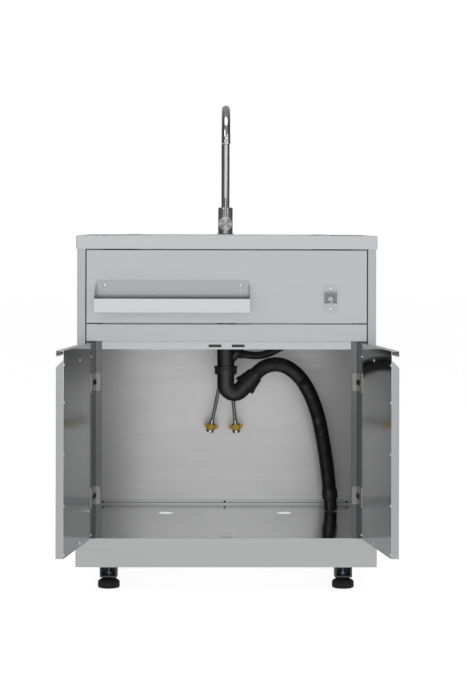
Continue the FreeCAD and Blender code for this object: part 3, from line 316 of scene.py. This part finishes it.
def ringedHighlightSteel(name, centre):  # turned face: fine rings about the hub's own axis, plus a painted bow-tie highlight in wedges above and below it
    steel = Finish(name, Metallic=1.0)
    local = steel.add("Mapping", None, {"Vector": steel.place, "Location": -centre})
    x = steel.add("SeparateXYZ", None, {0: local}, output=0)
    z = steel.add("SeparateXYZ", None, {0: local}, output=2)
    radius = (x * x + z * z) ** 0.5
    rings = steel.add("TexNoise", {"noise_dimensions": "1D"},
                      {"W": radius * 2600, "Scale": 1.0, "Detail": 2.0})
    # painted bow-tie highlight: lighter wedges above and below the hub's centre
    paintedBowTie = steel.add("Math", {"operation": "DIVIDE"}, {0: z * z, 1: x * x + z * z + 1e-9})
    tone = rings * 0.3 + (paintedBowTie * 2 - 1) ** 4 * 0.45 + paintedBowTie * 0.3
    steel.set("Base_Color", steel.blend(tone, (0.20, 0.20, 0.20), (0.66, 0.66, 0.65)))
    steel.set("Roughness", rings * 0.12 + 0.2)
    steel.relief(rings, 0.0004, 0.8)
    return steel.material


def zincPlate(name, dark, light, rough):
    zinc = Finish(name, Metallic=1.0)
    patch = zinc.noise((120, 120, 120), 4)
    speck = zinc.noise((900, 900, 900), 2)
    zinc.set("Base_Color", zinc.blend(patch * 0.7 + speck * 0.3, dark, light))
    zinc.set("Roughness", patch * 0.15 + rough)
    zinc.relief(speck, 0.0001, 0.3)
    return zinc.material


def plastic(name, dark, light, rough, bump=0.00015, shine=0.5):
    shell = Finish(name, Specular_IOR_Level=shine)
    patch = shell.noise((40, 40, 40), 4)
    speck = shell.noise((1200, 1200, 1200), 2)
    shell.set("Base_Color", shell.blend(patch * 0.6 + speck * 0.4, dark, light))
    shell.set("Roughness", patch * 0.18 + speck * 0.08 + rough)
    shell.relief(speck, bump, 0.5)
    return shell.material


zinc = zincPlate("zinc", (0.52, 0.53, 0.55), (0.80, 0.81, 0.83), 0.22)
studSteel = zincPlate("studSteel", (0.30, 0.34, 0.40), (0.55, 0.60, 0.66), 0.28)
hingeNickel = zincPlate("hingeNickel", (0.22, 0.22, 0.22), (0.52, 0.52, 0.51), 0.16)
blackPlastic = plastic("blackPlastic", (0.012, 0.012, 0.013), (0.030, 0.030, 0.032), 0.26,
                       shine=0.5)
blackHose = plastic("blackHose", (0.010, 0.010, 0.011), (0.024, 0.024, 0.025), 0.28, shine=0.5)
blackScrew = zincPlate("blackScrew", (0.010, 0.010, 0.010), (0.05, 0.05, 0.05), 0.30)
armNickel = zincPlate("armNickel", (0.10, 0.10, 0.10), (0.26, 0.26, 0.25), 0.18)
rubber = plastic("rubber", (0.005, 0.005, 0.005), (0.014, 0.014, 0.014), 0.6, 0.0003, shine=0.2)
paleRubber = plastic("paleRubber", (0.40, 0.40, 0.39), (0.52, 0.52, 0.51), 0.6, 0.0003)
goldPlastic = plastic("goldPlastic", (0.70, 0.43, 0.04), (0.90, 0.62, 0.11), 0.26)


def wovenSteel(name, strands, pitch):  # two sets of wires crossing round the hose
    braid = Finish(name, Metallic=0.9)
    across = braid.add("SeparateXYZ", None, {0: braid.add("TexCoord", output="UV")}, output=0)
    along = braid.add("SeparateXYZ", None, {0: braid.add("TexCoord", output="UV")}, output=1)
    rising = (across * strands + along * pitch) * math.tau
    falling = (across * strands - along * pitch) * math.tau
    first = braid.add("Math", {"operation": "SINE"}, {0: rising})
    second = braid.add("Math", {"operation": "SINE"}, {0: falling})
    height = braid.add("Math", {"operation": "MAXIMUM"}, {0: first, 1: second}) * 0.5 + 0.5
    speck = braid.noise((700, 700, 300), 3)
    tone = height * 0.75 + speck * 0.35 - 0.1
    braid.set("Base_Color", braid.blend(tone, (0.05, 0.05, 0.055), (0.50, 0.51, 0.53)))
    braid.set("Roughness", 0.46 - height * 0.18)
    braid.relief(height, 0.0004, 0.7)
    return braid.material


braid = wovenSteel("braid", 9, 300)
print("finishes made")

# hoses
drainHose = {
    "route": [(82.4, 308.6, 554), (98, 313.1, 570.2), (124, 326, 581), (154, 348, 581),
              (185, 376, 566), (215, 408, 538), (240, 438, 499), (263, 460, 445),
              (280, 475, 375), (292, 485, 302), (302, 492, 227), (308, 496, 146)],
    "radius": 20.5, "rib": 0.9, "pitch": 0.0050,
    "bands": [(0.178, 0.198), (0.325, 0.345)], "cuff": 0.062, "tip": 0.040}
overflowHose = {
    "route": [(45, 297, 613), (84, 322, 604), (126, 344, 612), (168, 356, 634),
              (212, 350, 664), (252, 332, 702), (286, 306, 748), (306, 285, 804),
              (306, 285, 862)],
    "radius": 11.0, "rib": 0.5, "pitch": 0.0040}
supplyHoses = {
    "left": [(-7, 555, 872), (-8, 555, 815), (-11, 552, 755), (-9, 548, 690),
             (-6, 545, 625), (-7, 545, 565), (-16, 547, 505), (-27, 553, 450),
             (-37, 558, 402)],
    "right": [(7, 555, 872), (8, 556, 812), (12, 554, 750), (10, 549, 685),
              (11, 546, 620), (16, 545, 555), (19, 547, 500), (25, 551, 450),
              (30, 555, 401)],
    "radius": 5.0}


def ribbed(hose, total):
    def radius(s):
        plain = any(a < s < b for a, b in hose.get("bands", ()))
        plain = plain or s > total - hose.get("cuff", 0) or s < 0.004
        wave = 0.5 - 0.5 * math.cos(math.tau * s / hose["pitch"])
        if s > total - hose.get("tip", 0):
            return hose["radius"] - 2.2
        return hose["radius"] - (0.2 if plain else hose["rib"] * 2 * wave ** 1.5)
    return radius


def lineLength(line):
    return sum((b - a).length for a, b in zip(line, line[1:]))


drainLine = smoothLine(drainHose["route"])
drainLength = lineLength(drainLine)
drain = piece("drainHose", [tube(drainLine, ribbed(drainHose, drainLength), 44, 0.85)],
              blackHose, "root", ["drain_hose"], 60)
endWay = drainLine[-2] - drainLine[-1]
drainEnd = piece("drainHoseEnd", [turned(
    [(17.0, 0.3), (18.2, 0.3), (18.6, 1.2), (18.6, 34), (20.4, 35), (22.3, 36), (22.6, 37.5),
     (22.6, 57), (22.0, 58.6), (20.4, 59.4), (17.0, 59.4), (17.0, 0.3)],
    aim(drainLine[-1], endWay))],
    blackPlastic, "root")

overflowLine = smoothLine(overflowHose["route"])
overflowLength = lineLength(overflowLine)
overflow = piece("overflowHose",
                 [tube(overflowLine, ribbed(overflowHose, overflowLength), 32, 0.8)],
                 blackHose, "root", ["overflow_hose"], 60)

ferrule = [(3.2, 0), (6.0, 0), (6.3, 0.6), (6.3, 3), (5.9, 3.8), (5.9, 5), (6.3, 5.8), (6.3, 8),
           (5.9, 8.8), (5.9, 10), (6.3, 10.8), (6.3, 15), (5.8, 16), (4.2, 16.2), (4.2, 23.5),
           (7.6, 23.5), (7.6, 26.4), (3.2, 26.4), (3.2, 0)]
unionNut = [(4.3, 17), (6.7, 17), (6.7, 11), (10.8, 11), (12.6, 12.2), (13.4, 14.5), (13.4, 26),
            (12.4, 28.5), (11.0, 29.8), (9.7, 29.8), (9.7, 27), (8.2, 27), (8.2, 23), (4.3, 23),
            (4.3, 17)]
unionRing = [(9.7, 29.9), (10.8, 29.9), (11, 30.5), (11, 35.3), (10.5, 36), (9.7, 36), (9.7, 29.9)]
wingOutline = [(11.5, 13.2), (15, 12.2), (19.8, 12), (20.8, 12.8), (21, 14.5), (21, 20),
               (19.8, 22), (16, 24.2), (11.5, 25)]

for side in ("left", "right"):
    line = smoothLine(supplyHoses[side])
    hose = piece("supplyHose" + side.capitalize(),
                 [tube(line, lambda s: supplyHoses["radius"], 24, 4.0)],
                 braid, "root", ["supply_hose_" + side], 60)
    place = aim(line[-1], line[-1] - line[-2])
    tail = piece("supplyTail" + side.capitalize(), [turned(ferrule, place, 36)], zinc, "root",
                 ["supply_tails"])
    wings = [turned(unionNut, place, 40)]
    for turn in (0, math.pi):
        wings.append(slab(wingOutline, 3.6, place @ Matrix.Rotation(turn, 4, "Z")
                          @ Matrix.Rotation(math.pi / 2, 4, "X")
                          @ Matrix.Translation((0, 0, -0.0018)), 1.0))
    for i in range(10):
        wings.append(block((1.2, 1.6, 11), place @ Matrix.Rotation(i * math.tau / 10, 4, "Z")
                           @ Matrix.Translation((0.0133, 0, 0.0203)), 0.4))
    ring = piece("unionRing" + side.capitalize(), [turned(unionRing, place, 40)], zinc,
                 "union_" + side)
    nut = piece("wingNut" + side.capitalize(), wings, goldPlastic, "union_" + side,
                ["wing_nut_" + side])

# carried-over sheet metal and fittings
cadFinishes = {
    topSteel: "countertop header_rail",
    frontSteel: "fascia_panel lower_rail",
    shelfSteel: "base_pan",
    traySteel: "condiment_tray",
    innerSteel: "back_panel",
    wallSteel[0]: "side_panel_left",
    wallSteel[1]: "side_panel_right",
    sideSteel: "door_skin_left door_skin_right",
    linerSteel: "door_liner_left door_liner_right",
    bowlSteel: "sink_bowl strainer_body strainer_basket overflow_plate",
    plateSteel: "bottle_opener sink_clips",
    tapSteel: "faucet_body faucet_base_ring spout lever_pin faucet_nut",
    armNickel: "hinge_arms",
    hingeNickel: "hinge_cups_left hinge_cups_right hinge_pins_left hinge_pins_right",
    zinc: "foot_plates liner_screws_left liner_screws_right",
    blackPlastic: "tailpiece trap_bend trap_inlet_nut trap_outlet_nut overflow_elbow "
                  "drain_locknut door_magnets foot_housings faucet_cartridge",
    rubber: "drain_gasket faucet_gasket",
    paleRubber: "door_bumper",
}
for finish, names in cadFinishes.items():
    for name in names.split():
        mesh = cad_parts[name].data
        mesh.materials.clear()
        mesh.materials.append(finish)

# tap
hub = {"x": 0, "y": 497, "z": 978}
hubSteel = ringedHighlightSteel("hubSteel", at(hub["x"], hub["y"], hub["z"]))
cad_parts["lever_hub"].data.materials.clear()
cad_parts["lever_hub"].data.materials.append(hubSteel)
spoutEnd = {"y": 379, "z": 1204}
ring = [(8.4, 0), (11.9, 0), (12.5, 0.6), (12.7, 1.6), (12.7, 10.4), (12.45, 11.4), (12.05, 11.6),
        (12.05, 6.0), (11.2, 6.0), (11.2, 4), (8.4, 4), (8.4, 0)]
piece("spoutRing", [turned(ring, Matrix.Translation(at(0, spoutEnd["y"], spoutEnd["z"])), 48)],
      tapSteel, "swivel_spout")
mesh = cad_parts["aerator"].data
mesh.materials.clear()
mesh.materials.append(zinc)

# pan-head screws: driving recess in a low dome
screwSpots = {"panelScrews": (zinc, 1.12, [(-324, 1.7, 813), (37, 1.7, 813), (276, 1, 754),
                                           (276, 1, 805)]),
              "backScrews": (blackScrew, 1.0, [(x, 629.6, 151) for x in (-363, 0, 363)])}
panHead = [(0, 0.7), (1.2, 0.8), (1.35, 1.9), (2.0, 1.95), (2.9, 1.6), (3.4, 0.9), (3.5, 0),
           (1.85, 0), (1.85, -2), (0, -2)]
for name, (finish, grow, spots) in screwSpots.items():
    profile = [(r * grow, z) for r, z in panHead]
    piece(name, [turned(profile, aim(at(*spot), (0, -1, 0)), 28) for spot in spots], finish,
          "root", ["panel_screws"])

seamShadow = {"size": (760, 0.5, 1.2), "y": 629.3, "z": 149}  # painted shadow: a dark strip standing in for the shadow of the joint behind the shelf
piece("backSeamShadow", [block(seamShadow["size"], Matrix.Translation(at(0, seamShadow["y"], seamShadow["z"])), 0.15)],
      rubber, "root")

# levelling feet
foot = {"x": 315, "inset": 75, "depth": 635}
padProfile = [(0, 0), (26.5, 0), (28.6, 0.9), (29.5, 3), (29.5, 13.5), (29.0, 16.5), (27.5, 18.8),
              (22, 22.6), (16, 26), (12.5, 28.0), (5.2, 28.3), (5.2, 19.5), (0, 19.5)]
studProfile = [(0, 19.6), (4.3, 19.6)]
for k in range(65):
    studProfile += [(4.35, 20.2 + k * 1.5), (5.0, 20.95 + k * 1.5)]
studProfile += [(4.3, 117.8), (0, 117.8)]
nutProfile = [(5.1, 0), (8.3, 0), (9.815, 0.9), (9.815, 7.1), (8.3, 8), (5.1, 8), (5.1, 0)]
footNuts = []
for y, end in ((foot["inset"], "front"), (foot["depth"] - foot["inset"], "rear")):
    for x, side in ((-foot["x"], "left"), (foot["x"], "right")):
        name = end.capitalize() + side.capitalize()
        place = Matrix.Translation(at(x, y, 0))
        piece("footPad" + name, [turned(padProfile, place, 56)], rubber,
              "foot_%s_%s" % (end, side), ["foot_%s_%s" % (end, side)])
        piece("footStud" + name, [turned(studProfile, place, 24)], studSteel,
              "foot_%s_%s" % (end, side))
        for z in (34, 53):
            footNuts.append(turned(nutProfile, Matrix.Translation(at(x, y, z)), 48, 17.0))
piece("footNuts", footNuts, zinc, "root", ["foot_nuts"])
print("feet made")

# floor, backdrop light and soft boxes
studio = {"floor": (0.34, 0.34, 0.34), "glow": 0.84, "backdrop": 1.0, "surround": 0.46,
          "cloth": 0.25}
bm = bmesh.new()
bmesh.ops.create_grid(bm, x_segments=1, y_segments=1, size=20)
floorMesh = bpy.data.meshes.new("floor")
bm.to_mesh(floorMesh)
bm.free()
floor = bpy.data.objects.new("floor", floorMesh)
bpy.context.scene.collection.objects.link(floor)
floor.location.z = -0.0005
pale = Finish("paleFloor", Emission_Color=(1, 1, 1, 1), Emission_Strength=studio["glow"])
pale.set("Base_Color", pale.blend(pale.noise((2, 2, 2), 3), (0.30, 0.30, 0.30), studio["floor"]))
pale.set("Roughness", 0.7)
floorMesh.materials.append(pale.material)

world = bpy.data.worlds.new("studio")
bpy.context.scene.world = world
world.use_nodes = True
nodes, links = world.node_tree.nodes, world.node_tree.links
seen = nodes.new("ShaderNodeLightPath")
pick = nodes.new("ShaderNodeMixShader")
links.new(seen.outputs["Is Camera Ray"], pick.inputs[0])
for slotNumber, strength in ((1, studio["surround"]), (2, studio["backdrop"])):
    glow = nodes.new("ShaderNodeBackground")
    glow.inputs["Color"].default_value = (1, 1, 1, 1)
    glow.inputs["Strength"].default_value = strength
    links.new(glow.outputs[0], pick.inputs[slotNumber])
    if slotNumber == 1:  # dark cloths to the left and right of the set
        spread = nodes.new("ShaderNodeTexCoord")
        apart = nodes.new("ShaderNodeSeparateXYZ")
        ramp = nodes.new("ShaderNodeMapRange")
        side = nodes.new("ShaderNodeMath")
        side.operation = "ABSOLUTE"
        links.new(spread.outputs["Generated"], apart.inputs[0])
        links.new(apart.outputs[0], side.inputs[0])
        links.new(side.outputs[0], ramp.inputs[0])
        for i, value in enumerate((0.35, 0.85, strength, strength * studio["cloth"])):
            ramp.inputs[i + 1].default_value = value
        links.new(ramp.outputs[0], glow.inputs["Strength"])
links.new(pick.outputs[0], nodes["World Output"].inputs["Surface"])

softBoxes = {  # where it hangs, where it points, width and height, watts
    "front": ((0.0, -6.6, 1.2), (0, 0, 1.2), (6.0, 3.2), 62),
    "key": ((-2.6, -3.4, 2.8), (0, 0, 0.6), (1.6, 1.6), 34),
    "fill": ((2.8, -3.0, 1.8), (0, 0, 0.6), (1.4, 1.4), 14),
    "top": ((0.0, -0.8, 3.4), (0, 0, 0.9), (2.4, 1.2), 46)}
for name, (spot, target, size, power) in softBoxes.items():
    lamp = bpy.data.lights.new(name, "AREA")
    lamp.shape = "RECTANGLE"
    lamp.size, lamp.size_y = size
    lamp.energy = power
    box = bpy.data.objects.new(name, lamp)
    bpy.context.scene.collection.objects.link(box)
    box.location = spot
    box.rotation_euler = (Vector(target) - Vector(spot)).to_track_quat("-Z", "Y").to_euler()
    box.visible_camera = False
print("studio made")
